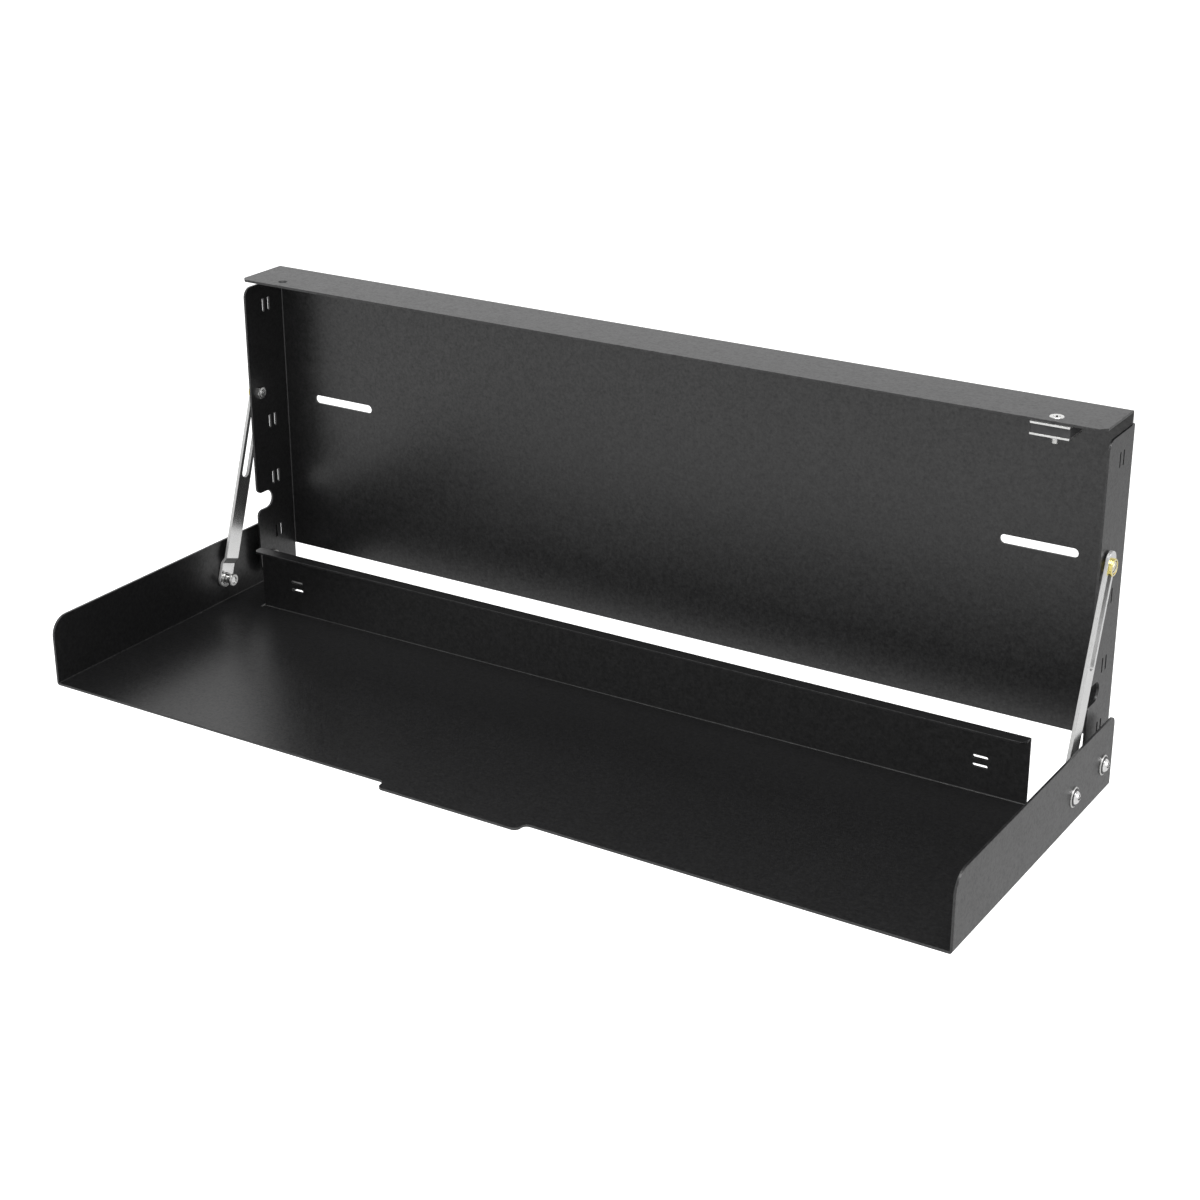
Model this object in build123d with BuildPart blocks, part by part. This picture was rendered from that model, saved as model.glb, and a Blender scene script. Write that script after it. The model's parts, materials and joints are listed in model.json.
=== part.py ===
from build123d import *
import os
from math import atan2, cos, hypot, pi, sin

# Wall-mounted fold-down keyboard tray: a folded steel wall frame, a folded steel
# tray hinged at its foot, and two slotted flat stays that hold the tray level.
#
# Frame: +X to the right, +Y back into the wall, +Z up.  The origin is the centre
# of the two wall slots, on the rear face of the wall frame.  The tray is modelled
# open (level); folding it up by 90 degrees closes it over the frame.
# All sizes in millimetres.

os.makedirs("parts", exist_ok=True)

# ------------------------------------------------------------------ dimensions
FLOOR_Z = -140.4       # underside of the open tray floor
SHEET = 1.5            # sheet thickness of tray and frame
BEND_IN = 0.6          # inside bend radius
BEND_OUT = BEND_IN + SHEET
TIE_LEN = 10.0         # cable-tie slots, always in pairs
TIE_W = 2.0
CUT = 1.0              # how far a cut runs past the material

# wall frame
FRAME_HALF = 317.65            # outer face of the side flanges
FRAME_IN = FRAME_HALF - SHEET  # inner face of the side flanges
FRAME_DEPTH = 41.0             # depth of the side flanges
FRAME_FOOT = FLOOR_Z + 8.4     # foot of the side flanges
SHOULDER = FLOOR_Z + 227.0     # top of the side flanges
FRAME_TOP = FLOOR_Z + 235.0    # top face of the top flange
FRAME_SOFFIT = FRAME_TOP - SHEET
TOP_HALF = 315.9               # half width of the top flange
TOP_DEPTH = 45.0               # depth of the top flange
PANEL_FOOT = FLOOR_Z + 24.4    # lower edge of the back panel
PANEL_INSET = 1.2              # panel narrower than the top flange, each side
SHOULDER_GAP = 0.3             # side flanges to the full-width top band
FLANGE_ROOT = 8.0              # overlap strip of a side flange with the panel
WALL_SLOT_X = 264.75           # wall slots, left and right of centre
WALL_SLOT_LEN = 50.5
WALL_SLOT_W = 6.0
FRAME_TIE_Y = (-22.3, -16.5)
FRAME_TIE_Z = (FLOOR_Z + 211.0, FLOOR_Z + 125.0, FLOOR_Z + 82.0, FLOOR_Z + 40.0)
NOTCH_Y, NOTCH_Z = -30.9, FLOOR_Z + 67.5   # centre of the notch's round end
NOTCH_R = 6.5
NOTCH_LIP = 4.5                # rounding where the notch meets the front edge

# catch holes in the top flange
CATCH_X = 282.6        # screw of the catch, right end
SPARE_X = 285.8        # empty catch hole, left end
CATCH_Y = -35.5
CATCH_SCREW_R = 2.0    # M4 shank
CATCH_HOLE_R = CATCH_SCREW_R + 0.1

# tray
TRAY_HALF = 325.3              # outer face of the side walls
TRAY_IN = TRAY_HALF - SHEET    # inner face of the side walls
TRAY_FRONT = -244.0            # front edge of the floor
TRAY_REAR = -12.5              # rear edge of the side walls
TRAY_WALL = 47.6               # height of the side walls
REAR_WALL_Y = -64.8            # rear face of the rear wall
REAR_WALL_HALF = 293.6         # half width of the floor cut behind the rear wall
REAR_WALL_GAP = 0.3            # rear wall narrower than that cut, each side
REAR_WALL_TOP = FLOOR_Z + 46.3
REAR_WALL_ROOT = 8.0           # front edge of the rear wall's floor strip
RELIEF_W = 1.8                 # bend relief at each end of the rear wall
RELIEF_X = REAR_WALL_HALF + 0.6
RELIEF_DEPTH = 5.0             # relief ahead of the rear wall's rear face
LIP_FRONT = -75.3              # front edge of the lip folded forward
TAB_HALF = 51.5                # pull tab on the front edge
TAB_OUT = 8.5
TAB_R = 4.0
TRAY_TIE_X = 262.4             # cable-tie slots in the rear wall
TRAY_TIE_Z = (FLOOR_Z + 25.2, FLOOR_Z + 19.4)

# pivots in the side view (Y, Z)
HINGE = (-28.0, FLOOR_Z + 20.5)      # tray hinge
STAY_FOOT = (-74.5, FLOOR_Z + 19.3)  # foot of the stay, on the tray
STAY_TOP = (-30.8, FLOOR_Z + 148.6)  # top pivot of the stay, on the frame

# stays; distances up the bar are measured from the foot pivot
STAY_W = 13.0
STAY_T = 2.3
STAY_X = 318.6         # inner face of the upper bar
STAY_TAB_X = 321.2     # inner face of the lower tab, stepped outward
STEP_LOW = 11.1        # foot and head of the step
STEP_HIGH = 15.2
STEP_R = 0.9
STAY_HEAD = 9.5        # bar beyond the top pivot
STAY_EDGE = 0.25       # broken long edges
SLOT_W = 7.0
SLOT_DOWN = 62.0       # slot end below the top pivot

# fasteners
PIN_R = 2.5            # M5 shanks
RUN = 0.05             # running clearance
THREAD_GAP = 0.02      # radial gap of nut and bush bores
WASHER_GAP = 0.1       # radial gap of washer bores
HEAD_R = 4.2
HEAD_H = 2.6
WASHER_R = 6.4
WASHER_T = 1.2
WASHER_BEVEL = 0.45
NUT_FLATS = 8.0        # M5 nuts, across flats
RECESS_TAPER = 8       # draft of the cross recesses, degrees

stay_run = STAY_TOP[0] - STAY_FOOT[0]
stay_rise = STAY_TOP[1] - STAY_FOOT[1]
stay_len = hypot(stay_run, stay_rise)
lean = atan2(stay_run, stay_rise)
up_bar = (0, sin(lean), cos(lean))

# faces of the barrel nut's disc, just inside the frame flange
disc_out = FRAME_IN - 0.2
disc_in = disc_out - 1.8
# inner end of the slider bush, and the plane where its flange bears on the stay
bush_tip = FRAME_HALF + 0.1
bush_face = STAY_X + STAY_T + RUN


# --------------------------------------------------------------------- helpers
def side_plane(x, y, z):
    """Plane square to X: local x along +Y, local y along +Z."""
    return Plane(origin=(x, y, z), x_dir=(0, 1, 0), z_dir=(1, 0, 0))


def profile_plane(x, y, z):
    """Plane facing the front: local x along +X, local y along +Z."""
    return Plane(origin=(x, y, z), x_dir=(1, 0, 0), z_dir=(0, -1, 0))


def x_axis(pivot):
    return Axis((0, *pivot), (1, 0, 0))


def z_axis(x):
    """Vertical axis through a catch hole."""
    return Axis((x, CATCH_Y, 0), (0, 0, 1))


def on_side(side, *points):
    """Points drawn for the right side (1), mirrored for the left (-1)."""
    return [(side * x, y) for x, y in points]


def near(edges, axis, position):
    return edges.filter_by_position(axis, position - 0.01, position + 0.01)


def x_edges(builder, y, z):
    """Edges along X that pass through (y, z) in the side view."""
    return near(near(builder.edges().filter_by(Axis.X), Axis.Y, y), Axis.Z, z)


def outer_rim(builder, end):
    """Largest circle of the last (1) or first (-1) face along X."""
    face = builder.faces().sort_by(Axis.X)[-1 if end > 0 else 0]
    return face.edges().sort_by(SortBy.RADIUS)[-1]


def export(part, label):
    part.label = label
    export_step(part, "parts/" + label + ".step")


# ------------------------------------------------------------------ wall frame
def make_wall_frame():
    with BuildPart() as frame:
        # back panel with the top flange, then the top band at full width
        for foot, half in ((PANEL_FOOT, TOP_HALF - PANEL_INSET),
                           (SHOULDER + SHOULDER_GAP, TOP_HALF)):
            with BuildSketch(Plane.YZ):
                with BuildLine():
                    Polyline((0, foot), (0, FRAME_TOP), (-TOP_DEPTH, FRAME_TOP),
                             (-TOP_DEPTH, FRAME_SOFFIT), (-SHEET, FRAME_SOFFIT),
                             (-SHEET, foot), close=True)
                make_face()
            extrude(amount=half, both=True)
        fillet(x_edges(frame, 0, FRAME_TOP), BEND_OUT)
        fillet(x_edges(frame, -SHEET, FRAME_SOFFIT), BEND_IN)
        # side flanges with their bends, profile in XY
        root = FRAME_IN - FLANGE_ROOT
        bend_out_x = FRAME_HALF - BEND_OUT
        bend_in_x = FRAME_IN - BEND_IN
        for s in (1, -1):
            with BuildSketch(Plane.XY.offset(FRAME_FOOT)):
                with BuildLine():
                    Polyline(*on_side(s, (root, 0), (bend_out_x, 0)))
                    RadiusArc(*on_side(s, (bend_out_x, 0), (FRAME_HALF, -BEND_OUT)),
                              s * BEND_OUT)
                    Polyline(*on_side(s, (FRAME_HALF, -BEND_OUT), (FRAME_HALF, -FRAME_DEPTH),
                                      (FRAME_IN, -FRAME_DEPTH), (FRAME_IN, -BEND_OUT)))
                    RadiusArc(*on_side(s, (FRAME_IN, -BEND_OUT), (bend_in_x, -SHEET)),
                              -s * BEND_IN)
                    Polyline(*on_side(s, (bend_in_x, -SHEET), (root, -SHEET), (root, 0)))
                make_face()
            extrude(amount=SHOULDER - FRAME_FOOT)
        # below the panel only the flanges go on down
        foot_cut = 5.0   # run of the cut below the flanges
        with BuildSketch(Plane.YZ):
            with Locations((0, FRAME_FOOT - foot_cut)):
                Rectangle(2 * BEND_OUT, PANEL_FOOT - FRAME_FOOT + foot_cut,
                          align=(Align.CENTER, Align.MIN))
        extrude(amount=FRAME_HALF + CUT, both=True, mode=Mode.SUBTRACT)
        # rounded flange corners: front top, front foot, rear foot
        for y, z, radius in ((-FRAME_DEPTH, SHOULDER, 7.0),
                             (-FRAME_DEPTH, FRAME_FOOT, 12.0),
                             (-BEND_OUT, FRAME_FOOT, 6.0)):
            fillet(x_edges(frame, y, z), radius)
        # clipped front corners of the top flange
        chamfer(near(frame.edges().filter_by(Axis.Z), Axis.Y, -TOP_DEPTH), 4.0)
        # wall slots
        with BuildSketch(Plane.XZ):
            with Locations((WALL_SLOT_X, 0), (-WALL_SLOT_X, 0)):
                SlotOverall(WALL_SLOT_LEN, WALL_SLOT_W)
        extrude(amount=5, both=True, mode=Mode.SUBTRACT)
        # paired cable-tie slots up both flanges
        with BuildSketch(Plane.YZ):
            with Locations(*[(y, z) for y in FRAME_TIE_Y for z in FRAME_TIE_Z]):
                SlotOverall(TIE_LEN, TIE_W, rotation=90)
        extrude(amount=FRAME_HALF + CUT, both=True, mode=Mode.SUBTRACT)
        # round-ended notch in the front edge of each flange: takes the barrel nut
        # of the stay when the tray is folded up
        front = -FRAME_DEPTH
        lip_y = front + NOTCH_LIP
        upper = NOTCH_Z + NOTCH_R
        lower = NOTCH_Z - NOTCH_R
        arc_mid = NOTCH_LIP * (1 - cos(pi / 4))   # inset of the lip arc's midpoint
        with BuildSketch(Plane.YZ):
            with BuildLine():
                Line((front - CUT, upper + NOTCH_LIP), (front, upper + NOTCH_LIP))
                ThreePointArc((front, upper + NOTCH_LIP),
                              (front + arc_mid, upper + arc_mid), (lip_y, upper))
                Line((lip_y, upper), (NOTCH_Y, upper))
                ThreePointArc((NOTCH_Y, upper), (NOTCH_Y + NOTCH_R, NOTCH_Z),
                              (NOTCH_Y, lower))
                Line((NOTCH_Y, lower), (lip_y, lower))
                ThreePointArc((lip_y, lower), (front + arc_mid, lower - arc_mid),
                              (front, lower - NOTCH_LIP))
                Polyline((front, lower - NOTCH_LIP), (front - CUT, lower - NOTCH_LIP),
                         (front - CUT, upper + NOTCH_LIP))
            make_face()
        extrude(amount=FRAME_HALF + CUT, both=True, mode=Mode.SUBTRACT)
        # hinge holes and stay pivot holes
        with BuildSketch(Plane.YZ):
            with Locations(HINGE, STAY_TOP):
                Circle(PIN_R + RUN)
        extrude(amount=FRAME_HALF + CUT, both=True, mode=Mode.SUBTRACT)
        # catch holes in the top flange, both countersunk; only the right one is used
        with Locations(Plane(origin=(-SPARE_X, CATCH_Y, FRAME_TOP), z_dir=(0, 0, 1))):
            Hole(CATCH_HOLE_R, depth=SHEET + CUT)
        # shallow countersink of the empty hole, with a short round wall left under it
        sink_r = CATCH_SCREW_R + 1.5
        sink_z = FRAME_TOP - 1.0
        with BuildSketch(profile_plane(-SPARE_X, CATCH_Y, 0)):
            with BuildLine():
                Polyline((0, FRAME_TOP + 0.1), (sink_r + 0.1, FRAME_TOP + 0.1),
                         (sink_r, FRAME_TOP), (CATCH_HOLE_R, sink_z), (0, sink_z),
                         close=True)
            make_face()
        revolve(axis=z_axis(-SPARE_X), mode=Mode.SUBTRACT)
        with Locations(Plane(origin=(CATCH_X, CATCH_Y, FRAME_TOP), z_dir=(0, 0, 1))):
            CounterSinkHole(CATCH_HOLE_R, 4.5, depth=SHEET + CUT, counter_sink_angle=90)
    export(frame.part, "wall_frame")


# ------------------------------------------------------------------------ tray
def make_tray():
    with BuildPart() as tray:
        # floor and side walls: U profile in XZ, drawn along Y
        with BuildSketch(profile_plane(0, TRAY_REAR, FLOOR_Z)):
            with BuildLine():
                Polyline((-TRAY_HALF, TRAY_WALL), (-TRAY_HALF, 0), (TRAY_HALF, 0),
                         (TRAY_HALF, TRAY_WALL), (TRAY_IN, TRAY_WALL), (TRAY_IN, SHEET),
                         (-TRAY_IN, SHEET), (-TRAY_IN, TRAY_WALL), close=True)
            make_face()
        extrude(amount=TRAY_REAR - TRAY_FRONT)
        # bends between floor and side walls, outside then inside
        for x, z, radius in ((TRAY_HALF, FLOOR_Z, BEND_OUT),
                             (TRAY_IN, FLOOR_Z + SHEET, BEND_IN)):
            fillet(near(tray.edges().filter_by(Axis.Y), Axis.Z, z)
                   .filter_by(lambda edge: abs(abs(edge.center().X) - x) < 0.01), radius)
        # rounded upper corners of the side walls
        for y, radius in ((TRAY_FRONT, 13.0), (TRAY_REAR, 6.0)):
            fillet(x_edges(tray, y, FLOOR_Z + TRAY_WALL), radius)
        # behind the rear wall the floor is cut away, with a narrow relief at each end
        fold_y = REAR_WALL_Y - BEND_OUT
        cut_rear = TRAY_REAR + 2
        relief_front = REAR_WALL_Y - RELIEF_DEPTH
        with BuildSketch(Plane.XY.offset(FLOOR_Z)):
            with Locations((0, (fold_y + cut_rear) / 2)):
                Rectangle(2 * REAR_WALL_HALF, cut_rear - fold_y)
            with Locations((RELIEF_X, (relief_front + cut_rear) / 2),
                           (-RELIEF_X, (relief_front + cut_rear) / 2)):
                Rectangle(RELIEF_W, cut_rear - relief_front)
        extrude(amount=SHEET + CUT, mode=Mode.SUBTRACT)
        # rear wall with the lip folded forward at its top, profile in YZ
        root_y = REAR_WALL_Y - REAR_WALL_ROOT
        inner_y = REAR_WALL_Y - SHEET
        low_bend = FLOOR_Z + BEND_OUT
        high_bend = REAR_WALL_TOP - BEND_OUT
        floor_top = FLOOR_Z + SHEET
        lip_under = REAR_WALL_TOP - SHEET
        with BuildSketch(Plane.YZ):
            with BuildLine():
                Polyline((root_y, FLOOR_Z), (fold_y, FLOOR_Z))
                RadiusArc((fold_y, FLOOR_Z), (REAR_WALL_Y, low_bend), -BEND_OUT)
                Line((REAR_WALL_Y, low_bend), (REAR_WALL_Y, high_bend))
                RadiusArc((REAR_WALL_Y, high_bend), (fold_y, REAR_WALL_TOP), -BEND_OUT)
                Polyline((fold_y, REAR_WALL_TOP), (LIP_FRONT, REAR_WALL_TOP),
                         (LIP_FRONT, lip_under), (fold_y, lip_under))
                RadiusArc((fold_y, lip_under), (inner_y, high_bend), BEND_IN)
                Line((inner_y, high_bend), (inner_y, low_bend))
                RadiusArc((inner_y, low_bend), (fold_y, floor_top), BEND_IN)
                Polyline((fold_y, floor_top), (root_y, floor_top), (root_y, FLOOR_Z))
            make_face()
        extrude(amount=REAR_WALL_HALF - REAR_WALL_GAP, both=True)
        # rounded ends of the lip
        fillet(near(tray.edges().filter_by(Axis.Z), Axis.Y, LIP_FRONT)
               .filter_by_position(Axis.Z, REAR_WALL_TOP - 2, REAR_WALL_TOP), 4.0)
        # pull tab on the front edge
        tab_front = TRAY_FRONT - TAB_OUT
        tab_root = TAB_HALF + TAB_R
        with BuildSketch(Plane.XY.offset(FLOOR_Z)):
            with BuildLine():
                Polyline((-tab_root, TRAY_FRONT + 1), (-tab_root, TRAY_FRONT))
                RadiusArc((-tab_root, TRAY_FRONT), (-TAB_HALF, TRAY_FRONT - TAB_R), TAB_R)
                Polyline((-TAB_HALF, TRAY_FRONT - TAB_R), (-TAB_HALF, tab_front + TAB_R))
                RadiusArc((-TAB_HALF, tab_front + TAB_R),
                          (-TAB_HALF + TAB_R, tab_front), -TAB_R)
                Line((-TAB_HALF + TAB_R, tab_front), (TAB_HALF - TAB_R, tab_front))
                RadiusArc((TAB_HALF - TAB_R, tab_front),
                          (TAB_HALF, tab_front + TAB_R), -TAB_R)
                Polyline((TAB_HALF, tab_front + TAB_R), (TAB_HALF, TRAY_FRONT - TAB_R))
                RadiusArc((TAB_HALF, TRAY_FRONT - TAB_R), (tab_root, TRAY_FRONT), TAB_R)
                Polyline((tab_root, TRAY_FRONT), (tab_root, TRAY_FRONT + 1),
                         (-tab_root, TRAY_FRONT + 1))
            make_face()
        extrude(amount=SHEET)
        # paired cable-tie slots near both ends of the rear wall
        with BuildSketch(Plane.XZ.offset(-REAR_WALL_Y - 5)):
            with Locations(*[(x, z) for x in (-TRAY_TIE_X, TRAY_TIE_X) for z in TRAY_TIE_Z]):
                SlotOverall(TIE_LEN, TIE_W)
        extrude(amount=12, mode=Mode.SUBTRACT)
        # hinge and stay holes through the side walls
        with BuildSketch(Plane.YZ):
            with Locations(HINGE, STAY_FOOT):
                Circle(PIN_R + RUN)
        extrude(amount=TRAY_HALF + CUT, both=True, mode=Mode.SUBTRACT)
    export(tray.part, "tray")


# ----------------------------------------------------------------------- stays
def make_stay(side, name):
    foot_end = -STAY_W / 2
    head_end = stay_len + STAY_HEAD
    with BuildPart() as stay:
        # stepped bar seen edge-on: local x up the bar, local y along +X
        with BuildSketch(Plane(origin=(0, *STAY_FOOT), x_dir=up_bar,
                               z_dir=(0, cos(lean), -sin(lean)))):
            with BuildLine():
                Polyline((foot_end, side * STAY_TAB_X), (STEP_LOW, side * STAY_TAB_X),
                         (STEP_HIGH, side * STAY_X), (head_end, side * STAY_X),
                         (head_end, side * (STAY_X + STAY_T)),
                         (STEP_HIGH, side * (STAY_X + STAY_T)),
                         (STEP_LOW, side * (STAY_TAB_X + STAY_T)),
                         (foot_end, side * (STAY_TAB_X + STAY_T)), close=True)
            make_face()
        extrude(amount=STAY_W / 2, both=True)
        # the four step bends are rounded
        foot = Vector(0, *STAY_FOOT)
        fillet(stay.edges()
               .filter_by(lambda edge: STAY_W - 0.1 < edge.length < STAY_W + 0.1)
               .filter_by(lambda edge: -1 < (edge.center() - foot).dot(Vector(*up_bar)) < 20),
               STEP_R)
        # full-round ends
        fillet(stay.edges().filter_by(Axis.X), STAY_W / 2 - 0.02)
        # slot for the bush, foot hole for the bolt
        slot_above = SLOT_W / 2 + RUN
        with BuildSketch(Plane(origin=(0, *STAY_TOP), x_dir=up_bar, z_dir=(1, 0, 0))):
            with Locations(((slot_above - SLOT_DOWN) / 2, 0)):
                SlotOverall(SLOT_DOWN + slot_above, SLOT_W)
        extrude(amount=TRAY_HALF, both=True, mode=Mode.SUBTRACT)
        with BuildSketch(side_plane(0, *STAY_FOOT)):
            Circle(PIN_R + RUN)
        extrude(amount=TRAY_HALF, both=True, mode=Mode.SUBTRACT)
        # broken long edges
        chamfer(stay.faces().filter_by(Axis.X).edges()
                .filter_by(lambda edge: 60 < edge.length < 200), STAY_EDGE)
    export(stay.part, "stay_" + name)


# --------------------------------------------------- round fasteners on X axes
# Every revolve profile is drawn as (x, r): x across the frame, r from the pivot.
# An x distance is given for the right side; side is 1 (right) or -1 (left).

def make_bolt(label, side, pivot, head_x, tip_x, tip_bevel):
    """Domed cross-recess bolt: head_x under the head, tip_x at the inner end."""
    crown_x = head_x + HEAD_H
    rim_x = head_x + 0.5
    with BuildPart() as bolt:
        with BuildSketch(profile_plane(0, *pivot)):
            with BuildLine():
                Polyline(*on_side(side, (crown_x, 0), (tip_x, 0), (tip_x, PIN_R - tip_bevel),
                                  (tip_x + tip_bevel, PIN_R), (head_x, PIN_R),
                                  (head_x, HEAD_R), (rim_x, HEAD_R)))
                ThreePointArc(*on_side(side, (rim_x, HEAD_R),
                                       (crown_x - 0.55, HEAD_R * 0.66), (crown_x, 0)))
            make_face()
        revolve(axis=x_axis(pivot))
        # cross recess
        with BuildSketch(side_plane(side * (crown_x + 0.2), *pivot)):
            Rectangle(4.6, 1.0)
            Rectangle(1.0, 4.6)
        extrude(amount=-side * 1.6, taper=RECESS_TAPER, mode=Mode.SUBTRACT)
    export(bolt.part, label)


def make_ring(label, side, pivot, inner_x, thickness, radius, bevel=0):
    """Washer or spacer running outward from inner_x, bevelled on its outer face."""
    with BuildPart() as ring:
        with BuildSketch(side_plane(side * inner_x, *pivot)):
            Circle(radius)
            Circle(PIN_R + WASHER_GAP, mode=Mode.SUBTRACT)
        extrude(amount=side * thickness)
        if bevel:
            chamfer(outer_rim(ring, side), bevel)
    export(ring.part, label)


def make_hinge_nut(side, name):
    """Flanged hex nut with a round collar, inside the frame flange."""
    hex_h = 3.6
    with BuildPart() as nut:
        with BuildSketch(side_plane(side * FRAME_IN, *HINGE)):
            RegularPolygon(NUT_FLATS / 2, 6, major_radius=False)
        extrude(amount=-side * hex_h)
        with BuildSketch(side_plane(side * FRAME_IN, *HINGE)):
            Circle(6.8)
        extrude(amount=-side * 1.4, taper=14)
        with BuildSketch(side_plane(side * (FRAME_IN - hex_h), *HINGE)):
            Circle(3.75)
        extrude(amount=-side * 1.4)
        with BuildSketch(side_plane(side * FRAME_IN, *HINGE)):
            Circle(PIN_R + THREAD_GAP)
        extrude(amount=-side * 8, mode=Mode.SUBTRACT)
        fillet(outer_rim(nut, -side), 0.7)
    export(nut.part, "hinge_nut_" + name)


def make_barrel_nut(side, name):
    """Its neck drops into the flange notch when the tray is closed, and its disc
    runs just inside the flange."""
    bore = PIN_R + THREAD_GAP
    outer_x = STAY_TAB_X - RUN
    collar_x = STAY_TAB_X - 0.8
    collar_r = 4.3
    neck_r = 3.1
    disc_r = 4.6
    with BuildPart() as nut:
        with BuildSketch(profile_plane(0, *STAY_FOOT)):
            with BuildLine():
                Polyline(*on_side(side, (outer_x, bore), (outer_x, collar_r),
                                  (collar_x, collar_r), (collar_x, neck_r),
                                  (disc_out, neck_r), (disc_out, disc_r - 0.3),
                                  (disc_out - 0.3, disc_r), (disc_in + 0.5, disc_r),
                                  (disc_in, disc_r - 0.5), (disc_in, bore)), close=True)
            make_face()
        revolve(axis=x_axis(STAY_FOOT))
    export(nut.part, "stay_barrel_nut_" + name)


def make_slider_bush(side, name):
    """Flanged brass bush that slides in the slot of the stay."""
    bore = PIN_R + THREAD_GAP
    barrel_r = SLOT_W / 2 - RUN
    flange_r = 5.4
    rim_x = bush_face + 1.5
    crown_x = bush_face + 2.2
    crown_r = 4.65
    seat_x = bush_face + 1.3     # floor of the recess for the screw head
    with BuildPart() as bush:
        with BuildSketch(profile_plane(0, *STAY_TOP)):
            with BuildLine():
                Polyline(*on_side(side, (bush_tip, bore), (bush_tip, barrel_r),
                                  (bush_face, barrel_r), (bush_face, flange_r),
                                  (rim_x, flange_r)))
                ThreePointArc(*on_side(side, (rim_x, flange_r), (bush_face + 2.0, 5.17),
                                       (crown_x, crown_r)))
                Polyline(*on_side(side, (crown_x, crown_r), (crown_x, 4.15),
                                  (seat_x, 3.95), (seat_x, bore), (bush_tip, bore)))
            make_face()
        revolve(axis=x_axis(STAY_TOP))
    export(bush.part, "slider_bush_" + name)


def make_slider_screw(side, name):
    """Slotted screw with its head sunk in the bush."""
    seat_x = bush_face + 1.3
    rim_x = bush_face + 1.9
    crown_x = bush_face + 2.5
    head_r = 3.6
    with BuildPart() as screw:
        with BuildSketch(profile_plane(0, *STAY_TOP)):
            with BuildLine():
                Polyline(*on_side(side, (rim_x, head_r), (seat_x, head_r), (seat_x, PIN_R),
                                  (bush_tip, PIN_R), (bush_tip, 0), (crown_x, 0),
                                  (crown_x, 1.8)))
                ThreePointArc(*on_side(side, (crown_x, 1.8), (bush_face + 2.31, 2.9),
                                       (rim_x, head_r)))
            make_face()
        revolve(axis=x_axis(STAY_TOP))
        # screwdriver slot
        with BuildSketch(side_plane(side * (bush_face + 3.0), *STAY_TOP)):
            Rectangle(9.0, 0.9, rotation=35)
        extrude(amount=-side * 1.3, mode=Mode.SUBTRACT)
    export(screw.part, "slider_screw_" + name)


def make_pivot_stud(side, name):
    """Threaded stud through the frame flange, in line with the slider screw."""
    with BuildPart() as stud:
        with BuildSketch(profile_plane(0, *STAY_TOP)):
            with BuildLine():
                Polyline(*on_side(side, (FRAME_HALF, 0), (FRAME_HALF, PIN_R),
                                  (FRAME_IN - 2.1, PIN_R), (FRAME_IN - 2.5, PIN_R - 0.4),
                                  (FRAME_IN - 2.6, 0)), close=True)
            make_face()
        revolve(axis=x_axis(STAY_TOP))
    export(stud.part, "pivot_stud_" + name)


def make_pivot_nut(side, name):
    """Thin hex nut on the stud, inside the frame flange."""
    height = 1.9
    bevel_x = FRAME_IN - height - 0.01
    with BuildPart() as nut:
        with BuildSketch(side_plane(side * FRAME_IN, *STAY_TOP)):
            RegularPolygon(NUT_FLATS / 2, 6, major_radius=False)
            Circle(PIN_R + THREAD_GAP, mode=Mode.SUBTRACT)
        extrude(amount=-side * height)
        # turned corner chamfer on the free face
        with BuildSketch(profile_plane(0, *STAY_TOP)):
            with BuildLine():
                Polyline(*on_side(side, (bevel_x, 3.9), (bevel_x, 6.0),
                                  (FRAME_IN - 0.8, 6.0)), close=True)
            make_face()
        revolve(axis=x_axis(STAY_TOP), mode=Mode.SUBTRACT)
    export(nut.part, "pivot_nut_" + name)


def make_fasteners(side, name):
    # tray hinge, clamped to the frame; the tray turns on it
    make_bolt("hinge_bolt_" + name, side, HINGE, head_x=TRAY_HALF + RUN + WASHER_T,
              tip_x=FRAME_IN - 6.4, tip_bevel=0.5)
    make_ring("hinge_washer_" + name, side, HINGE, inner_x=TRAY_HALF + RUN,
              thickness=WASHER_T, radius=WASHER_R, bevel=WASHER_BEVEL)
    make_ring("hinge_spacer_" + name, side, HINGE, inner_x=FRAME_HALF,
              thickness=TRAY_IN - RUN - FRAME_HALF, radius=4.6)
    make_hinge_nut(side, name)

    # foot of the stay, on the tray
    make_bolt("stay_bolt_" + name, side, STAY_FOOT, head_x=TRAY_HALF + WASHER_T,
              tip_x=disc_in + 0.6, tip_bevel=0.4)
    make_ring("stay_bolt_washer_" + name, side, STAY_FOOT, inner_x=TRAY_HALF,
              thickness=WASHER_T, radius=WASHER_R, bevel=WASHER_BEVEL)
    # thin friction washer between the tray wall and the stay's tab
    thrust_x = STAY_TAB_X + STAY_T + RUN
    make_ring("stay_thrust_washer_" + name, side, STAY_FOOT, inner_x=thrust_x,
              thickness=TRAY_IN - thrust_x, radius=5.6)
    make_barrel_nut(side, name)

    # top of the stay
    make_slider_bush(side, name)
    make_slider_screw(side, name)
    make_pivot_stud(side, name)
    make_pivot_nut(side, name)


# -------------------------------------------------------------- magnetic catch
# Hangs under the right end of the top flange; the closed tray floor stops on the
# front edges of its two pole plates.
PLATE_W = 24.6
PLATE_FRONT = -46.8
PLATE_BACK = -26.4
PLATE_D = PLATE_BACK - PLATE_FRONT
PLATE_T = 1.2
PLATE_GAP = 5.6
MAGNET_W, MAGNET_D = 18.0, 13.4
catch_mid_x = CATCH_X + 0.2
catch_mid_y = (PLATE_FRONT + PLATE_BACK) / 2
upper_plate_z = FRAME_SOFFIT - PLATE_T      # underside of each plate
magnet_z = upper_plate_z - PLATE_GAP
lower_plate_z = magnet_z - PLATE_T


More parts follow.
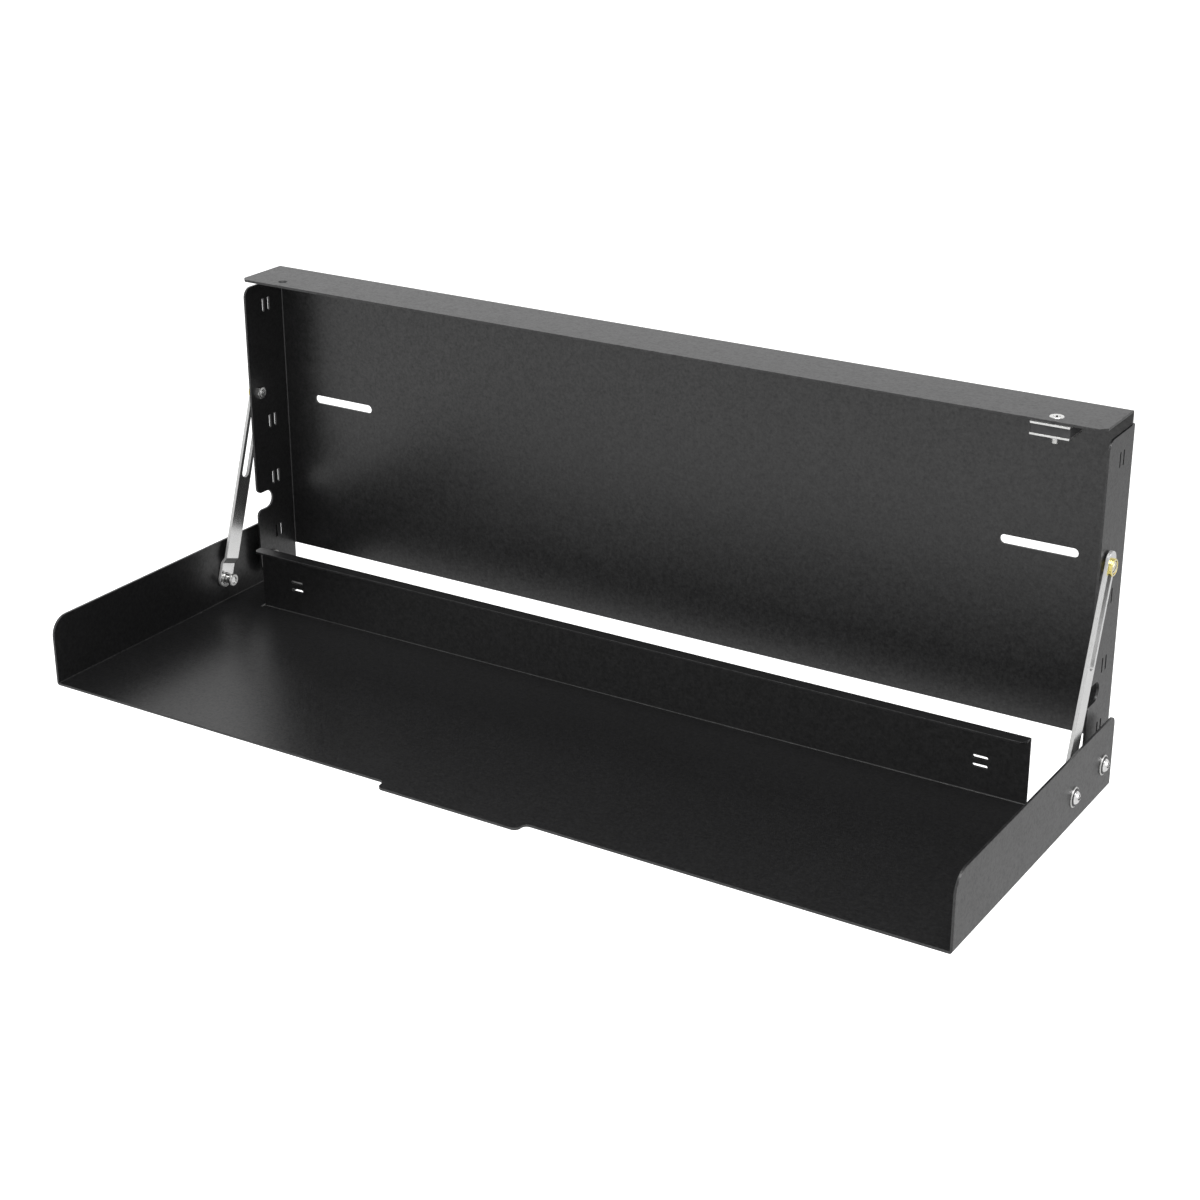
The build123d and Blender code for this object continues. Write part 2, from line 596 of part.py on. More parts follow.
def make_catch_housing():
    with BuildPart() as housing:
        with BuildSketch(Plane.XY.offset(magnet_z)):
            with Locations((catch_mid_x, catch_mid_y + 0.4)):
                RectangleRounded(PLATE_W - 0.4, PLATE_D - 0.8, 1.2)
            with Locations((catch_mid_x, catch_mid_y)):
                Rectangle(MAGNET_W + 0.1, MAGNET_D + 0.1, mode=Mode.SUBTRACT)
        extrude(amount=PLATE_GAP)
    export(housing.part, "catch_housing")


def make_catch_magnet():
    with BuildPart() as magnet:
        with BuildSketch(Plane.XY.offset(magnet_z)):
            with Locations((catch_mid_x, catch_mid_y)):
                Rectangle(MAGNET_W, MAGNET_D)
            with Locations((CATCH_X, CATCH_Y)):
                Circle(CATCH_SCREW_R + 0.25, mode=Mode.SUBTRACT)
        extrude(amount=PLATE_GAP)
    export(magnet.part, "catch_magnet")


def make_pole_plates():
    # the upper plate's hole clears the cone of the screw head
    with BuildPart() as plates:
        for z, hole_r in ((lower_plate_z, CATCH_SCREW_R + 0.15), (upper_plate_z, 3.1)):
            with BuildSketch(Plane.XY.offset(z)):
                with Locations((catch_mid_x, catch_mid_y)):
                    RectangleRounded(PLATE_W, PLATE_D, 0.8)
                with Locations((CATCH_X, CATCH_Y)):
                    Circle(hole_r, mode=Mode.SUBTRACT)
            extrude(amount=PLATE_T)
    export(plates.part, "catch_pole_plates")


def make_catch_screw():
    """Countersunk screw, standing slightly proud of the top flange."""
    end_z = lower_plate_z - 6.8
    head_z = FRAME_TOP + 0.15
    with BuildPart() as screw:
        with BuildSketch(profile_plane(CATCH_X, CATCH_Y, 0)):
            with BuildLine():
                Polyline((0, head_z), (4.15, head_z), (4.35, FRAME_TOP - 0.12),
                         (CATCH_SCREW_R, FRAME_TOP - 2.5), (CATCH_SCREW_R, end_z + 0.5),
                         (CATCH_SCREW_R - 0.5, end_z), (0, end_z), close=True)
            make_face()
        revolve(axis=z_axis(CATCH_X))
        # cross recess
        with BuildSketch(Plane.XY.offset(FRAME_TOP + 0.2)):
            with Locations((CATCH_X, CATCH_Y)):
                Rectangle(4.2, 1.1, rotation=20)
                Rectangle(1.1, 4.2, rotation=20)
                Circle(1.05)
        extrude(amount=-2.0, taper=RECESS_TAPER, mode=Mode.SUBTRACT)
    export(screw.part, "catch_screw")


def make_catch_nut():
    height = 3.2
    bevel_z = lower_plate_z - height - 0.01
    with BuildPart() as nut:
        with BuildSketch(Plane.XY.offset(lower_plate_z)):
            with Locations((CATCH_X, CATCH_Y)):
                RegularPolygon(7.0 / 2, 6, major_radius=False, rotation=10)
                Circle(CATCH_SCREW_R + THREAD_GAP, mode=Mode.SUBTRACT)
        extrude(amount=-height)
        # turned corner chamfer on the lower face
        with BuildSketch(profile_plane(CATCH_X, CATCH_Y, 0)):
            with BuildLine():
                Polyline((3.3, bevel_z), (5.0, bevel_z), (5.0, lower_plate_z - 2.2),
                         close=True)
            make_face()
        revolve(axis=z_axis(CATCH_X), mode=Mode.SUBTRACT)
    export(nut.part, "catch_nut")


make_wall_frame()
make_tray()
for side, name in ((1, "right"), (-1, "left")):
    make_stay(side, name)
    make_fasteners(side, name)
make_catch_housing()
make_catch_magnet()
make_pole_plates()
make_catch_screw()
make_catch_nut()
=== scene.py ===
import bpy, bmesh, json, math
from mathutils import Vector, Matrix


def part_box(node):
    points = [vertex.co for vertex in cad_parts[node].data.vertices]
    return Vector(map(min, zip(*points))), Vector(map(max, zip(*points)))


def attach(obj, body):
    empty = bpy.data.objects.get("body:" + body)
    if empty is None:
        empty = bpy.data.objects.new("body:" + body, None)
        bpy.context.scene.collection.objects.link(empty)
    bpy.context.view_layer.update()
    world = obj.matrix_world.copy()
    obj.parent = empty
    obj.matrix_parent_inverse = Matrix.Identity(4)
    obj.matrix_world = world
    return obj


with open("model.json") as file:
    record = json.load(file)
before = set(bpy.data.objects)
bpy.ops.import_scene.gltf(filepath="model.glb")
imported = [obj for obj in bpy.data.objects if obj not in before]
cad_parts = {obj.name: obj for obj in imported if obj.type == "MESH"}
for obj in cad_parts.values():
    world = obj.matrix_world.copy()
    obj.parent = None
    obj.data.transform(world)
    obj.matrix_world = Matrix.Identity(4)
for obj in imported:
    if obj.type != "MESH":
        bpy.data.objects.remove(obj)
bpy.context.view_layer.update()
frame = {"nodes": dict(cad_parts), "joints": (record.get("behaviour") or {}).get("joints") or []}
scene = bpy.context.scene
nodes = frame["nodes"]
JOINTS = {j["name"]: j for j in frame["joints"]}
SIDES = (("right", 1.0), ("left", -1.0))


def mid(node):
    lo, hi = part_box(node)
    return (lo + hi) / 2


# pivots, read from the frame
H = Vector(JOINTS["tray_fold"]["pos_m"])
P = Vector(JOINTS["stay_pivot_right"]["pos_m"])
W = Vector((0, mid("pivot_stud_right").y, mid("pivot_stud_right").z))
LEAN = math.atan2(W.y - P.y, W.z - P.z)

# ------------------------------------------------------------- material helpers


class Mat:
    """Node helper: a Principled shader with rounded edges and object coordinates."""

    def __init__(self, name, edge=0.00025):
        self.m = bpy.data.materials.new(name)
        self.m.use_nodes = True
        self.t = self.m.node_tree
        self.t.nodes.clear()
        self.out = self.n("ShaderNodeOutputMaterial")
        self.bsdf = self.n("ShaderNodeBsdfPrincipled")
        self.link(self.bsdf.outputs[0], self.out.inputs[0])
        self.pos = self.n("ShaderNodeTexCoord").outputs["Object"]
        self.geo = self.n("ShaderNodeNewGeometry")
        self.round = None
        if edge:
            bev = self.n("ShaderNodeBevel")
            bev.samples = 6
            bev.inputs["Radius"].default_value = edge
            self.round = bev.outputs[0]

    def n(self, kind, **kw):
        node = self.t.nodes.new(kind)
        for k, v in kw.items():
            setattr(node, k, v)
        return node

    def link(self, a, b):
        self.t.links.new(a, b)

    def put(self, v, sock):
        if isinstance(v, bpy.types.NodeSocket):
            self.link(v, sock)
        else:
            sock.default_value = v

    def set(self, **kw):
        for k, v in kw.items():
            self.put(v, self.bsdf.inputs[k.replace("_", " ")])

    def math(self, op, a, b=None, c=None, clamp=False):
        node = self.n("ShaderNodeMath", operation=op, use_clamp=clamp)
        self.put(a, node.inputs[0])
        if b is not None:
            self.put(b, node.inputs[1])
        if c is not None:
            self.put(c, node.inputs[2])
        return node.outputs[0]

    def noise(self, scale, detail=3.0, rough=0.5, vec=None):
        node = self.n("ShaderNodeTexNoise")
        node.inputs["Scale"].default_value = scale
        node.inputs["Detail"].default_value = detail
        node.inputs["Roughness"].default_value = rough
        self.link(vec if vec is not None else self.pos, node.inputs["Vector"])
        return node.outputs["Fac"]

    def mapping(self, scale=(1, 1, 1), rot=(0, 0, 0)):
        turn = self.n("ShaderNodeMapping")
        turn.inputs["Rotation"].default_value = rot
        self.link(self.pos, turn.inputs["Vector"])
        size = self.n("ShaderNodeMapping")
        size.inputs["Scale"].default_value = scale
        self.link(turn.outputs[0], size.inputs["Vector"])
        return size.outputs[0]

    def ramp(self, fac, stops):
        node = self.n("ShaderNodeValToRGB")
        el = node.color_ramp.elements
        while len(el) > 1:
            el.remove(el[-1])
        el[0].position, el[0].color = stops[0]
        for p, c in stops[1:]:
            el.new(p).color = c
        self.link(fac, node.inputs[0])
        return node.outputs[0]

    def mixc(self, fac, a, b):
        node = self.n("ShaderNodeMix", data_type="RGBA")
        ins = [i for i in node.inputs if i.enabled]
        for sock, v in zip(ins, (fac, a, b)):
            self.put(v, sock)
        return [o for o in node.outputs if o.enabled][0]

    def bump(self, height, dist, strength=1.0):
        node = self.n("ShaderNodeBump")
        node.inputs["Distance"].default_value = dist
        node.inputs["Strength"].default_value = strength
        self.link(height, node.inputs["Height"])
        if self.round is not None:
            self.link(self.round, node.inputs["Normal"])
        self.link(node.outputs[0], self.bsdf.inputs["Normal"])

    def edge_mask(self, radius, lo=0.90, hi=0.995):
        """1 along convex edges and corners, 0 on the flats."""
        bev = self.n("ShaderNodeBevel")
        bev.samples = 6
        bev.inputs["Radius"].default_value = radius
        dot = self.n("ShaderNodeVectorMath", operation="DOT_PRODUCT")
        self.link(bev.outputs[0], dot.inputs[0])
        self.link(self.geo.outputs["Normal"], dot.inputs[1])
        return self.ramp(dot.outputs["Value"], [(lo, g(1.0)), (hi, g(0.0))])

    def recess(self, dist, lo=0.45, hi=0.80):
        """1 inside narrow recesses, 0 on open faces."""
        ao = self.n("ShaderNodeAmbientOcclusion", samples=8, only_local=True)
        ao.inputs["Distance"].default_value = dist
        return self.ramp(ao.outputs["AO"], [(lo, g(1.0)), (hi, g(0.0))])

    def radial(self, y, z):
        """Distance from an X-running axis through (y, z), in metres."""
        sep = self.n("ShaderNodeSeparateXYZ")
        self.link(self.pos, sep.inputs[0])
        dy = self.math("SUBTRACT", sep.outputs[1], y)
        dz = self.math("SUBTRACT", sep.outputs[2], z)
        return self.math("SQRT", self.math("ADD", self.math("MULTIPLY", dy, dy),
                                           self.math("MULTIPLY", dz, dz)))

    def face_x(self):
        """1 on faces square to X, 0 on faces along X."""
        sep = self.n("ShaderNodeSeparateXYZ")
        nrm = self.n("ShaderNodeTexCoord").outputs["Normal"]
        self.link(nrm, sep.inputs[0])
        a = self.math("ABSOLUTE", sep.outputs[0])
        return self.ramp(a, [(0.80, g(0.0)), (0.97, g(1.0))])


def g(v, a=1.0):
    return (v, v, v, a)


# -------------------------------------------------------------------- materials


def powder_coat(name, base=0.0044, spec=0.86, rough=0.28):
    m = Mat(name, edge=0.00045)
    drift = m.noise(7.0, 3.0, 0.5)
    cell = m.noise(430.0, 3.0, 0.60)          # the coat's own texture, 1 to 2 mm
    fine = m.noise(1500.0, 2.0, 0.6)          # flecks inside it
    col = m.ramp(drift, [(0.3, (base * 0.80, base * 0.80, base * 0.84, 1)),
                         (0.7, (base * 1.20, base * 1.20, base * 1.26, 1))])
    fleck = m.ramp(fine, [(0.52, g(0.0)), (0.74, g(1.0))])
    col = m.mixc(m.math("MULTIPLY", fleck, 0.45), col, (0.020, 0.020, 0.0215, 1))
    # handling wear, only on edges and only here and there
    edge = m.edge_mask(0.0006)
    wear = m.math("MULTIPLY", edge, m.ramp(m.noise(130.0, 4.0, 0.65),
                                           [(0.40, g(0.0)), (0.66, g(1.0))]))
    col = m.mixc(m.math("MULTIPLY", wear, 0.50), col, (0.085, 0.085, 0.088, 1))
    m.set(Base_Color=col)
    h = m.math("ADD", m.math("MULTIPLY", cell, 0.66), m.math("MULTIPLY", fine, 0.34))
    m.bump(h, 0.00032, 0.30)
    r = m.math("ADD", rough, m.math("MULTIPLY", m.noise(45.0, 3.0, 0.6), 0.03))
    r = m.math("ADD", r, m.math("MULTIPLY", m.ramp(cell, [(0.35, g(0.0)), (0.65, g(1.0))]), 0.06))
    m.set(Roughness=r)
    s = m.math("MULTIPLY", spec, m.math("ADD", 0.58, m.math("MULTIPLY", cell, 0.84)))
    m.set(Specular_IOR_Level=s)
    # fine cavities between the grains swallow light at every angle
    pits = m.n("ShaderNodeBsdfDiffuse")
    pits.inputs["Color"].default_value = (0.006, 0.006, 0.0062, 1)
    grain = m.math("ADD", m.math("MULTIPLY", m.noise(620.0, 2.0, 0.5), 0.65),
                   m.math("MULTIPLY", m.noise(260.0, 2.0, 0.5), 0.35))
    mix = m.n("ShaderNodeMixShader")
    m.link(m.ramp(grain, [(0.36, g(0.20)), (0.50, g(0.07)), (0.64, g(0.0))]), mix.inputs[0])
    m.link(m.bsdf.outputs[0], mix.inputs[1])
    m.link(pits.outputs[0], mix.inputs[2])
    m.link(mix.outputs[0], m.out.inputs[0])
    return m.m


def plated_bar(name):
    m = Mat(name, edge=0.0002)
    v = m.mapping(scale=(1200, 1200, 30), rot=(LEAN, 0, 0))
    streak = m.noise(1.0, 4.0, 0.6, vec=v)     # rolling marks along the bar
    blot = m.noise(60.0, 3.0, 0.55)
    face = m.face_x()
    flatc = m.ramp(blot, [(0.3, (0.79, 0.79, 0.785, 1)), (0.7, (0.86, 0.86, 0.855, 1))])
    shear = m.noise(1.0, 4.0, 0.65, vec=m.mapping(scale=(2400, 500, 500), rot=(LEAN, 0, 0)))
    cutc = m.ramp(shear, [(0.3, (0.46, 0.46, 0.46, 1)), (0.7, (0.64, 0.64, 0.635, 1))])
    col = m.mixc(face, cutc, flatc)
    # the walls of the slot and the foot's inner corners see little light
    col = m.mixc(m.math("MULTIPLY", m.recess(0.008, 0.66, 0.96), 0.88), col, (0.045, 0.045, 0.045, 1))
    m.set(Base_Color=col,
          Metallic=m.math("ADD", 0.65, m.math("MULTIPLY", face, 0.35)))
    flat = m.math("ADD", 0.15, m.math("MULTIPLY", streak, 0.09))
    cut = m.math("ADD", 0.34, m.math("MULTIPLY", m.noise(1600.0, 3.0), 0.16))
    mixr = m.n("ShaderNodeMix", data_type="FLOAT")
    ins = [i for i in mixr.inputs if i.enabled]
    m.put(face, ins[0])
    m.put(cut, ins[1])
    m.put(flat, ins[2])
    m.set(Roughness=[o for o in mixr.outputs if o.enabled][0])
    m.bump(streak, 0.00002, 0.25)
    return m.m


def turned(name, lo, hi, y, z, rough=0.14, strength=0.30, face=None):
    """Turned metal: fine rings about an X-running axis."""
    m = Mat(name, edge=0.00018)
    ring = m.math("SINE", m.math("ADD", m.math("MULTIPLY", m.radial(y, z), 21000.0),
                                 m.math("MULTIPLY", m.noise(500.0, 2.0), 5.0)))
    blot = m.noise(260.0, 3.0, 0.6)
    col = m.ramp(blot, [(0.3, (*lo, 1)), (0.7, (*hi, 1))])
    if face:
        # the end face is worn paler than the turned rim
        col = m.mixc(m.math("MULTIPLY", m.face_x(), 0.9), col, (*face, 1))
    # painted shade: the colour is darkened inside the part's own recesses, such as a cross recess, where
    # shade falls
    painted_recess_shade = m.recess(0.0016)
    col = m.mixc(m.math("MULTIPLY", painted_recess_shade, 0.92), col, (0.035, 0.034, 0.032, 1))
    m.set(Base_Color=col, Metallic=1.0)
    m.set(Roughness=m.math("ADD", rough, m.math("MULTIPLY", m.noise(900.0, 3.0), 0.10)))
    m.bump(ring, 0.000012, strength)
    return m.m


def zinc(name, lo, hi, rough=0.2, recess_shade_strength=0.0):
    m = Mat(name, edge=0.00022)
    sp = m.n("ShaderNodeTexVoronoi")
    sp.inputs["Scale"].default_value = 800.0
    m.link(m.pos, sp.inputs["Vector"])
    blot = m.noise(330.0, 4.0, 0.65)
    col = m.ramp(blot, [(0.3, (*lo, 1)), (0.7, (*hi, 1))])
    # painted shade: optionally darken the colour inside recesses, such as a screw's cross recess, where
    # shade falls
    if recess_shade_strength:
        col = m.mixc(m.math("MULTIPLY", m.recess(0.0018), recess_shade_strength), col, (0.03, 0.03, 0.03, 1))
    m.set(Base_Color=col, Metallic=1.0)
    m.set(Roughness=m.math("ADD", rough, m.math("MULTIPLY", sp.outputs["Distance"], 0.16)))
    m.bump(m.noise(1500.0, 3.0), 0.00002, 0.35)
    return m.m


def plastic(name, col, rough=0.40, spec=0.5, grain=1500.0, depth=0.00008):
    m = Mat(name, edge=0.0003)
    n1 = m.noise(grain, 3.0, 0.6)
    n2 = m.noise(140.0, 2.0)
    m.set(Base_Color=m.ramp(n2, [(0.3, (*[c * 0.82 for c in col], 1)),
                                 (0.7, (*[c * 1.2 for c in col], 1))]))
    m.set(Roughness=m.math("ADD", rough, m.math("MULTIPLY", n1, 0.15)), Specular_IOR_Level=spec)
    m.bump(n1, depth, 0.5)
    return m.m


def ferrite(name):
    m = Mat(name, edge=0.00025)
    n1 = m.noise(3200.0, 4.0, 0.7)
    pit = m.ramp(m.noise(1400.0, 2.0), [(0.30, g(1.0)), (0.38, g(0.0))])
    m.set(Base_Color=m.mixc(m.math("MULTIPLY", pit, 0.6), (0.055, 0.055, 0.06, 1),
                            (0.02, 0.02, 0.02, 1)), Roughness=0.7)
    m.bump(m.math("SUBTRACT", n1, pit), 0.00008, 0.6)
    return m.m


MAT_POWDER = powder_coat("powder_coat_black")
MAT_BAR = plated_bar("plated_bar")
BRIGHT = ((0.72, 0.72, 0.715), (0.84, 0.84, 0.835))
MAT_BRIGHT_H = turned("bright_screw_hinge", *BRIGHT, H.y, H.z)
MAT_BRIGHT_P = turned("bright_screw_stay", *BRIGHT, P.y, P.z)
MAT_BARREL = turned("barrel_nut", (0.46, 0.46, 0.455), (0.58, 0.58, 0.57), P.y, P.z, 0.16)
MAT_BRIGHT_W = turned("bright_stud", (0.60, 0.60, 0.60), (0.78, 0.78, 0.77), W.y, W.z, 0.15)
MAT_BRASS = turned("turned_brass", (0.72, 0.60, 0.17), (0.90, 0.77, 0.30), W.y, W.z, 0.17, 0.16,
                   face=(0.86, 0.81, 0.60))
MAT_BRASS_SCREW = turned("pale_brass_screw", (0.78, 0.73, 0.56), (0.90, 0.86, 0.70), W.y, W.z, 0.15, 0.2)
MAT_ZINC = zinc("zinc_washer", (0.50, 0.50, 0.495), (0.64, 0.64, 0.63), 0.16)
MAT_NUT = zinc("zinc_nut", (0.52, 0.52, 0.515), (0.68, 0.68, 0.67), 0.18)
MAT_NUT_H = zinc("dull_lock_nut", (0.20, 0.20, 0.195), (0.30, 0.30, 0.295), 0.34)
MAT_NUT_W = zinc("bright_thin_nut", (0.74, 0.74, 0.735), (0.88, 0.88, 0.87), 0.10)
MAT_POLE = zinc("pole_steel", (0.74, 0.74, 0.73), (0.88, 0.88, 0.87), 0.22)
# the last figure sets the strength of the painted shade in this screw's recess
MAT_CSCREW = zinc("catch_screw_zinc", (0.76, 0.76, 0.75), (0.90, 0.90, 0.88), 0.16, 0.85)
MAT_NYLON = plastic("black_nylon", (0.016, 0.016, 0.017), 0.35)
MAT_INSERT = plastic("insert_nylon", (0.03, 0.10, 0.32), 0.40)
MAT_CATCH = plastic("catch_plastic", (0.040, 0.040, 0.041), 0.50)
MAT_FERRITE = ferrite("ferrite")

ASSIGN = {"wall_frame": MAT_POWDER, "tray": MAT_POWDER, "catch_housing": MAT_CATCH,
          "catch_magnet": MAT_FERRITE, "catch_pole_plates": MAT_POLE,
          "catch_screw": MAT_CSCREW, "catch_nut": MAT_NUT}
for s, _ in SIDES:
    ASSIGN.update({"stay_" + s: MAT_BAR, "hinge_bolt_" + s: MAT_BRIGHT_H,
                   "hinge_washer_" + s: MAT_ZINC, "hinge_spacer_" + s: MAT_NYLON,
                   "hinge_nut_" + s: MAT_NUT_H, "stay_bolt_" + s: MAT_BRIGHT_P,
                   "stay_bolt_washer_" + s: MAT_ZINC, "stay_thrust_washer_" + s: MAT_NYLON,
                   "stay_barrel_nut_" + s: MAT_BARREL, "slider_bush_" + s: MAT_BRASS,
                   "slider_screw_" + s: MAT_BRASS_SCREW, "pivot_stud_" + s: MAT_BRIGHT_W,
                   "pivot_nut_" + s: MAT_NUT_W})

for name, obj in nodes.items():
    obj.data.materials.clear()
    obj.data.materials.append(ASSIGN[name])

# ---------------------------------------------------------------- added pieces


def add_piece(name, bm, mat, body, smooth=True):
    me = bpy.data.meshes.new(name)
    bmesh.ops.recalc_face_normals(bm, faces=bm.faces)
    bm.to_mesh(me)
    bm.free()
    for p in me.polygons:
        p.use_smooth = smooth
    me.materials.append(mat)
    o = bpy.data.objects.new(name, me)
    scene.collection.objects.link(o)
    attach(o, body)
    return o


def axis_frame(origin, axis):
    """Columns u, v, w with w along the axis."""
    w = Vector(axis).normalized()
    u = Vector((0, 0, 1)) if abs(w.z) < 0.9 else Vector((0, 1, 0))
    u = (u - w * u.dot(w)).normalized()
    v = w.cross(u)
    return Vector(origin), u, v, w


def thread(name, origin, axis, r_core, depth, pitch, length, body, mat):
    """Helical ridge on a shank that starts at origin and runs along axis."""
    o, u, v, w = axis_frame(origin, axis)
    turns = length / pitch
    steps = max(24, int(turns * 40))
    bm = bmesh.new()
    rings = []
    half = pitch * 0.40
    for i in range(steps + 1):
        t = i / steps
        a = 2 * math.pi * turns * t
        taper = min(1.0, t * turns * 3.0, (1 - t) * turns * 3.0)
        d = u * math.cos(a) + v * math.sin(a)
        z = min(max(length * t, half), length - half)
        prof = ((-half, r_core - 0.00008), (-half * 0.18, r_core + depth * taper),
                (half * 0.18, r_core + depth * taper), (half, r_core - 0.00008))
        rings.append([bm.verts.new(o + d * r + w * (z + dz)) for dz, r in prof])
    for a, b in zip(rings, rings[1:]):
        for k in range(4):
            bm.faces.new((a[k], a[(k + 1) % 4], b[(k + 1) % 4], b[k]))
    bm.faces.new(rings[0])
    bm.faces.new(list(reversed(rings[-1])))
    return add_piece(name, bm, mat, body)


def ring(name, origin, axis, profile, body, slot, mat, n=72):
    """Closed turned ring; profile is (distance along the axis, radius) in metres."""
    o, u, v, w = axis_frame(origin, axis)
    bm = bmesh.new()
    loops = []
    for i in range(n):
        a = 2 * math.pi * i / n
        d = u * math.cos(a) + v * math.sin(a)
        loops.append([bm.verts.new(o + d * r + w * z) for z, r in profile])
    k = len(profile)
    for i in range(n):
        a, b = loops[i], loops[(i + 1) % n]
        for j in range(k):
            bm.faces.new((a[j], a[(j + 1) % k], b[(j + 1) % k], b[j]))
    return add_piece(name, bm, mat, body, smooth=False)


for side, s in SIDES:
    # end of the hinge bolt beyond its lock nut, and the nut's nylon insert
    nlo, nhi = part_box("hinge_nut_" + side)
    blo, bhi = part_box("hinge_bolt_" + side)
    x_nut = nlo.x if s > 0 else nhi.x
    x_end = blo.x if s > 0 else bhi.x
    run = abs(x_nut - x_end)
    thread("hinge_thread_" + side, (x_nut, H.y, H.z), (-s, 0, 0), 0.00248, 0.00020,
           0.0008, run - 0.0002, "frame", MAT_BRIGHT_H)
    ring("hinge_nut_insert_" + side, (x_nut, H.y, H.z), (-s, 0, 0),
         [(-0.0004, 0.00252), (-0.0004, 0.00315), (0.00006, 0.00315), (0.00014, 0.0030),
          (0.00014, 0.00274), (0.00005, 0.00256)], "frame", "nylon", MAT_INSERT)
    # end of the pivot stud beyond its thin nut
    nlo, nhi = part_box("pivot_nut_" + side)
    blo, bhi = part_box("pivot_stud_" + side)
    x_nut = nlo.x if s > 0 else nhi.x
    x_end = blo.x if s > 0 else bhi.x
    run = abs(x_nut - x_end)
    thread("pivot_thread_" + side, (x_nut, W.y, W.z), (-s, 0, 0), 0.00248, 0.00012,
           0.0006, run - 0.0001, "frame", MAT_BRIGHT_W)

# thin black rings round the domed heads on their washers: painted shade, a dark ring put where the
# shadow round each head falls
for side, s in SIDES:
    for part, axis_yz, body in (("hinge", H, "frame"), ("stay_bolt", P, "tray")):
        wlo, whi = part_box("hinge_washer_" + side if part == "hinge"
                          else "stay_bolt_washer_" + side)
        x_w = whi.x if s > 0 else wlo.x
        ring(part + "_shade_ring_" + side, (x_w, axis_yz.y, axis_yz.z), (s, 0, 0),
             [(-0.0001, 0.00415), (-0.0001, 0.00550), (0.00022, 0.00543), (0.00034, 0.0052),
              (0.00034, 0.00415)], body, "nylon", MAT_NYLON)

slo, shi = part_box("catch_screw")
nlo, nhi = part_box("catch_nut")
thread("catch_screw_thread", ((slo.x + shi.x) / 2, (slo.y + shi.y) / 2, nlo.z), (0, 0, -1),
       0.00198, 0.00018, 0.0007, nlo.z - slo.z - 0.0003, "frame", MAT_CSCREW)

# ------------------------------------------------------------------------ stage


def floor_material():
    m = Mat("studio_floor", edge=0)
    m.set(Base_Color=m.ramp(m.noise(1.2, 2.0), [(0.3, g(0.66)), (0.7, g(0.68))]))
    m.set(Roughness=0.9, Specular_IOR_Level=0.05)
    m.bump(m.noise(40.0, 2.0), 0.0005, 0.05)
    # the white sweep glows a little, so that it stays clean white behind the part
    cam_ray = m.n("ShaderNodeLightPath").outputs["Is Camera Ray"]
    sep = m.n("ShaderNodeSeparateXYZ")
    m.link(m.pos, sep.inputs[0])
    front = m.ramp(m.math("MULTIPLY_ADD", sep.outputs[1], -0.25, 0.0), [(0.0, g(0.0)), (0.45, g(0.26))])
    m.set(Emission_Color=g(1.0),
          Emission_Strength=m.math("ADD", front, m.math("MULTIPLY", cam_ray, 0.80)))
    return m.m


bm = bmesh.new()
R = 40.0
FLOOR_Z = -0.80
ringv = [bm.verts.new((R * math.cos(2 * math.pi * i / 96), R * math.sin(2 * math.pi * i / 96),
                       FLOOR_Z)) for i in range(96)]
bm.faces.new(ringv)
me = bpy.data.meshes.new("studio_floor")
bm.to_mesh(me)
bm.free()
floor = bpy.data.objects.new("studio_floor", me)
scene.collection.objects.link(floor)
me.materials.append(floor_material())

# soft studio surround: white to the camera; for reflections and light it is bright
# low down and all round, with a dimmer zone overhead and in front of the part
world = bpy.data.worlds.new("studio")
scene.world = world
world.use_nodes = True
wt = world.node_tree
wt.nodes.clear()


def wn(kind, **kw):
    node = wt.nodes.new(kind)
    for k, v in kw.items():
        setattr(node, k, v)
    return node


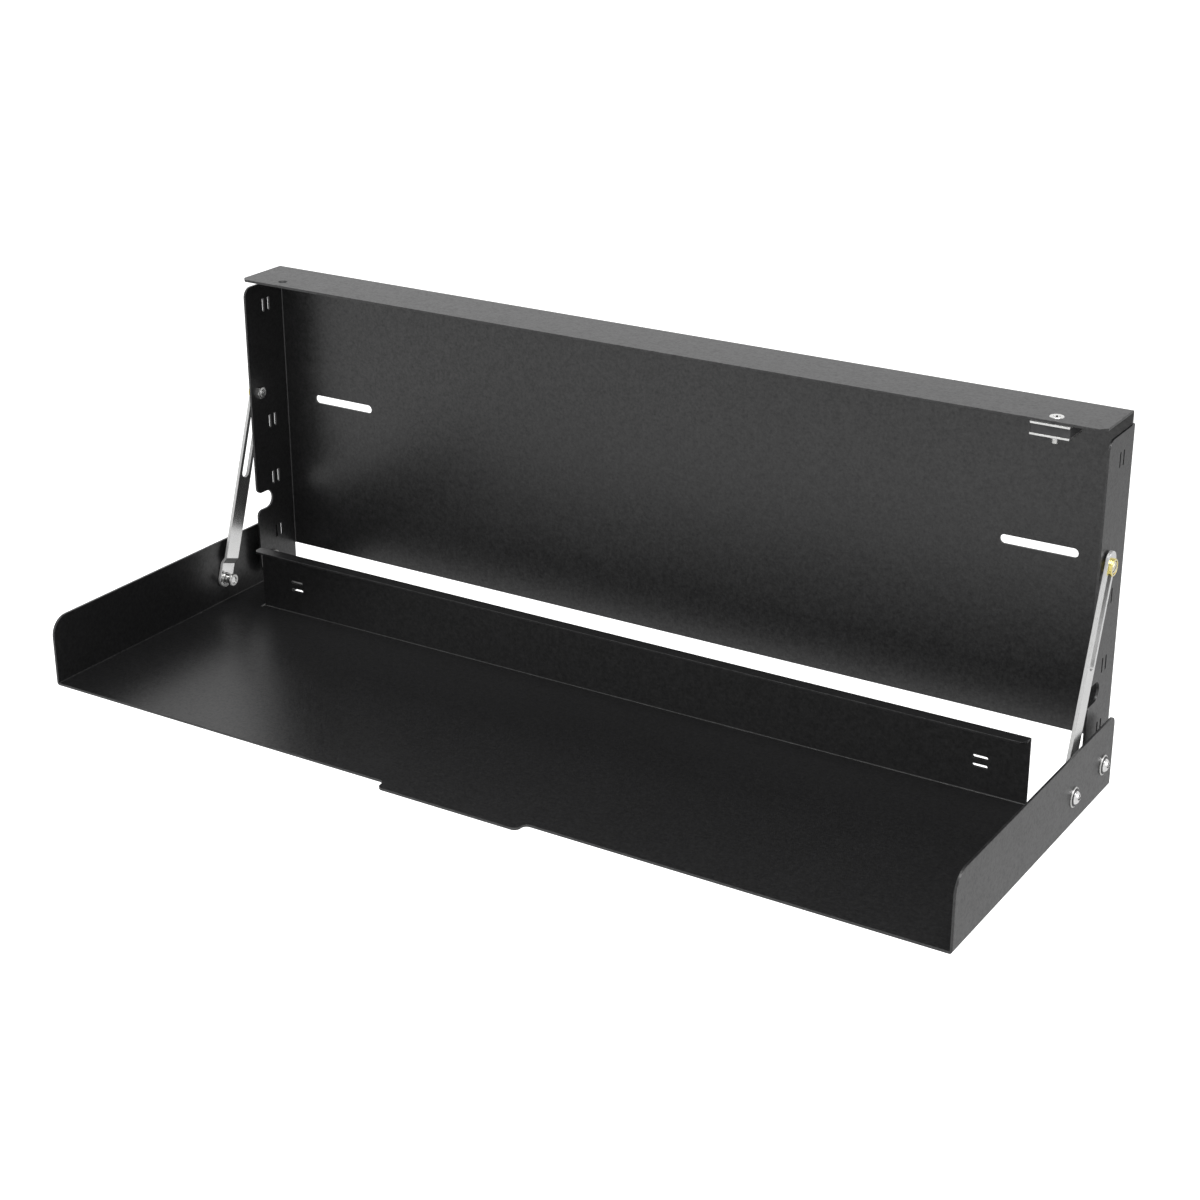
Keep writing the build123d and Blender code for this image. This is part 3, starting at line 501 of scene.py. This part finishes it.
wout = wn("ShaderNodeOutputWorld")
wmix = wn("ShaderNodeMixShader")
wcam = wn("ShaderNodeBackground")
wenv = wn("ShaderNodeBackground")
path = wn("ShaderNodeLightPath")
tc = wn("ShaderNodeTexCoord")
sep = wn("ShaderNodeSeparateXYZ")
wt.links.new(tc.outputs["Generated"], sep.inputs[0])
ramp = wn("ShaderNodeValToRGB")
el = ramp.color_ramp.elements
el[0].position, el[0].color = 0.0, g(1.0)
el[1].position, el[1].color = 1.0, g(0.55)
for p_, c_ in ((0.50, 0.92), (0.72, 0.87), (0.82, 0.62), (0.93, 0.62)):
    el.new(p_).color = g(c_)
zz = wn("ShaderNodeMath", operation="MULTIPLY_ADD")
zz.inputs[1].default_value = 0.5
zz.inputs[2].default_value = 0.5
wt.links.new(sep.outputs[2], zz.inputs[0])
wt.links.new(zz.outputs[0], ramp.inputs[0])
wt.links.new(ramp.outputs[0], wenv.inputs[0])
wenv.inputs[1].default_value = 1.10
wcam.inputs[0].default_value = g(1.0)
wcam.inputs[1].default_value = 1.05
wt.links.new(path.outputs["Is Camera Ray"], wmix.inputs[0])
wt.links.new(wenv.outputs[0], wmix.inputs[1])
wt.links.new(wcam.outputs[0], wmix.inputs[2])
wt.links.new(wmix.outputs[0], wout.inputs[0])


def area(name, loc, target, size, power):
    d = bpy.data.lights.new(name, "AREA")
    d.shape = "RECTANGLE"
    d.size, d.size_y = size
    d.energy = power
    o = bpy.data.objects.new(name, d)
    scene.collection.objects.link(o)
    o.location = loc
    o.rotation_mode = "QUATERNION"
    o.rotation_quaternion = (Vector(target) - Vector(loc)).to_track_quat("-Z", "Y")
    return o


area("key_top", (0.5, -0.7, 2.4), (0, -0.1, 0), (2.2, 1.6), 64)
area("fill_right", (2.6, 0.6, 0.7), (0.1, -0.1, 0.0), (1.4, 1.8), 9)

cam_data = bpy.data.cameras.new("camera")
cam = bpy.data.objects.new("camera", cam_data)
scene.collection.objects.link(cam)
cam_data.sensor_width = 36.0
cam_data.lens = 69.386
cam_data.clip_start, cam_data.clip_end = 0.05, 200
yaw, pitch, roll = 0.562300, -0.395936, -0.003095
fwd = Vector((-math.sin(yaw) * math.cos(pitch), math.cos(yaw) * math.cos(pitch), math.sin(pitch)))
right = Vector((math.cos(yaw), math.sin(yaw), 0))
up = right.cross(fwd)
right2 = math.cos(roll) * right + math.sin(roll) * up
up2 = -math.sin(roll) * right + math.cos(roll) * up
cam.location = (0.733422, -1.241826, 0.508676)
cam.rotation_mode = "QUATERNION"
cam.rotation_quaternion = Matrix((right2, up2, -fwd)).transposed().to_quaternion()
scene.camera = cam
scene.view_settings.view_transform = "Standard"
